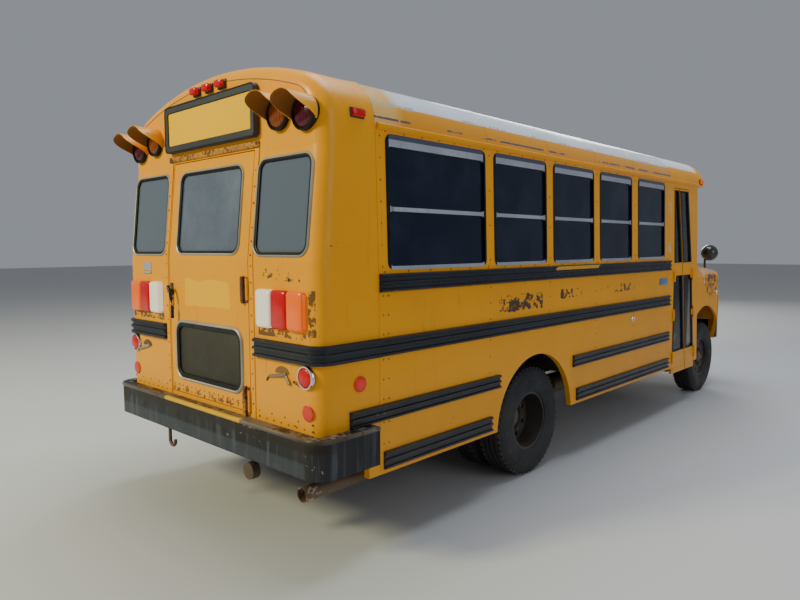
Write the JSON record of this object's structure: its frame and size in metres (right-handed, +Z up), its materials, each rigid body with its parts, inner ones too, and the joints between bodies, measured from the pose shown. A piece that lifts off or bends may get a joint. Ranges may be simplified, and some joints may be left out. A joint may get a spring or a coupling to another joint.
{
  "type": "short school bus",
  "caption": "Short school bus on a cutaway van chassis, with twin rear wheels, ribbed rub rails, split-sash windows, a rear emergency door and a two-leaf entrance door.",
  "frame": {"origin": "on the ground under the middle of the bus", "axes": "+Z up, front towards -Y, +X to the driver's (left) side, +Y along the length to the rear"},
  "size_m": [2.25, 6.559, 2.7199],
  "materials": {
    "yellow_paint": "chalky school-bus yellow enamel",
    "white_paint": "gloss white roof enamel",
    "black_paint": "worn black enamel",
    "frame_black": "rusty chassis black",
    "aluminium": "dull anodised",
    "dark_glass": "tinted",
    "clear_glass": "clear",
    "tyre_rubber": "worn",
    "wheel_steel": "dusty black",
    "red_lens": "ribbed lens",
    "clear_lens": "fluted lens",
    "grille_plastic": "matt",
    "dash_plastic": "grained",
    "seat_vinyl": "coated seat fabric",
    "floor_rubber": "ribbed floor covering",
    "sign_red": "reflective sheet",
    "mirror_black": "gloss black",
    "cast_iron": "oily cast iron"
  },
  "bodies": {
    "bus": {"cab_shell": "yellow_paint", "chassis_frame": "frame_black", "clearance_lamps": "red_lens", "dashboard": "dash_plastic", "drive_shaft": "frame_black", "engine_block": "cast_iron", "exhaust": "cast_iron", "floor": "floor_rubber", "front_axle": "frame_black", "front_bumper": "black_paint", "front_fenders": "yellow_paint", "fuel_tank": "frame_black", "grille": "grille_plastic", "headlamps": "clear_lens", "leaf_springs": "frame_black", "left_side_wall": "yellow_paint", "mirrors": "mirror_black", "rear_axle": "frame_black", "rear_bumper": "black_paint", "rear_sign": "yellow_paint", "rear_wall": "yellow_paint", "right_side_wall": "yellow_paint", "roof": "white_paint", "roof_caps": "yellow_paint", "rub_rails": "black_paint", "seat_frames": "frame_black", "seats": "seat_vinyl", "side_window_frames": "aluminium", "steering_wheel": "dash_plastic", "stop_arm_bracket": "black_paint", "tail_lamps": "red_lens", "tow_fittings": "frame_black", "warning_lamps": "red_lens", "window_glass": "dark_glass"},
    "front_left_wheel": {"front_left_tyre": "tyre_rubber", "front_left_rim": "wheel_steel"},
    "front_right_wheel": {"front_right_tyre": "tyre_rubber", "front_right_rim": "wheel_steel"},
    "rear_left_wheels": {"rear_left_tyres": "tyre_rubber", "rear_left_rims": "wheel_steel"},
    "rear_right_wheels": {"rear_right_tyres": "tyre_rubber", "rear_right_rims": "wheel_steel"},
    "left_steering": {"left_knuckle": "cast_iron"},
    "right_steering": {"right_knuckle": "cast_iron"},
    "rear_door": {"rear_door": "yellow_paint", "rear_door_glass": "dark_glass", "rear_door_handle": "black_paint"},
    "entrance_rear": {"entrance_rear_leaf": "yellow_paint", "entrance_rear_glass": "dark_glass"},
    "entrance_front": {"entrance_front_leaf": "yellow_paint", "entrance_front_glass": "dark_glass"},
    "driver_door": {"driver_door": "yellow_paint", "driver_door_glass": "clear_glass"},
    "hood": {"hood": "yellow_paint"},
    "stop_arm": {"stop_arm": "sign_red"}
  },
  "joints": [
    {"name": "left_steer", "type": "hinge", "parent": "bus", "child": "left_steering", "pos_m": [0.77, -2.61, 0.398], "axis": [0, 0, 1], "range_deg": [-33, 33]},
    {"name": "right_steer", "type": "hinge", "parent": "bus", "child": "right_steering", "pos_m": [-0.77, -2.61, 0.398], "axis": [0, 0, 1], "range_deg": [-33, 33]},
    {"name": "front_left_spin", "type": "hinge", "parent": "left_steering", "child": "front_left_wheel", "pos_m": [0.866, -2.61, 0.398], "axis": [1, 0, 0], "continuous": true},
    {"name": "front_right_spin", "type": "hinge", "parent": "right_steering", "child": "front_right_wheel", "pos_m": [-0.866, -2.61, 0.398], "axis": [1, 0, 0], "continuous": true},
    {"name": "rear_left_spin", "type": "hinge", "parent": "bus", "child": "rear_left_wheels", "pos_m": [0.766, 1.138, 0.398], "axis": [1, 0, 0], "continuous": true},
    {"name": "rear_right_spin", "type": "hinge", "parent": "bus", "child": "rear_right_wheels", "pos_m": [-0.766, 1.138, 0.398], "axis": [1, 0, 0], "continuous": true},
    {"name": "rear_door_swing", "type": "hinge", "parent": "bus", "child": "rear_door", "pos_m": [-0.447, 3.1995, 1], "axis": [0, 0, 1], "range_deg": [0, 105]},
    {"name": "entrance_rear_swing", "type": "hinge", "parent": "bus", "child": "entrance_rear", "pos_m": [-1.0595, -1.463, 1], "axis": [0, 0, -1], "range_deg": [0, 88]},
    {"name": "entrance_front_swing", "type": "hinge", "parent": "bus", "child": "entrance_front", "pos_m": [-1.0595, -2.107, 0.37], "axis": [0, 0.1305, 0.9915], "range_deg": [0, 80]},
    {"name": "driver_door_swing", "type": "hinge", "parent": "bus", "child": "driver_door", "pos_m": [1.0095, -2.107, 1], "axis": [0, 0, -1], "range_deg": [0, 68]},
    {"name": "hood_lift", "type": "hinge", "parent": "bus", "child": "hood", "pos_m": [0, -2.524, 1.462], "axis": [-1, 0, 0], "range_deg": [0, 50]},
    {"name": "stop_arm_swing", "type": "hinge", "parent": "bus", "child": "stop_arm", "pos_m": [1.094, -1.19, 1.316], "axis": [0, 0, -1], "range_deg": [0, 88]}
  ],
  "couplings": [
    {"joint": "right_steer", "follows": "left_steer", "ratio": 1}
  ]
}
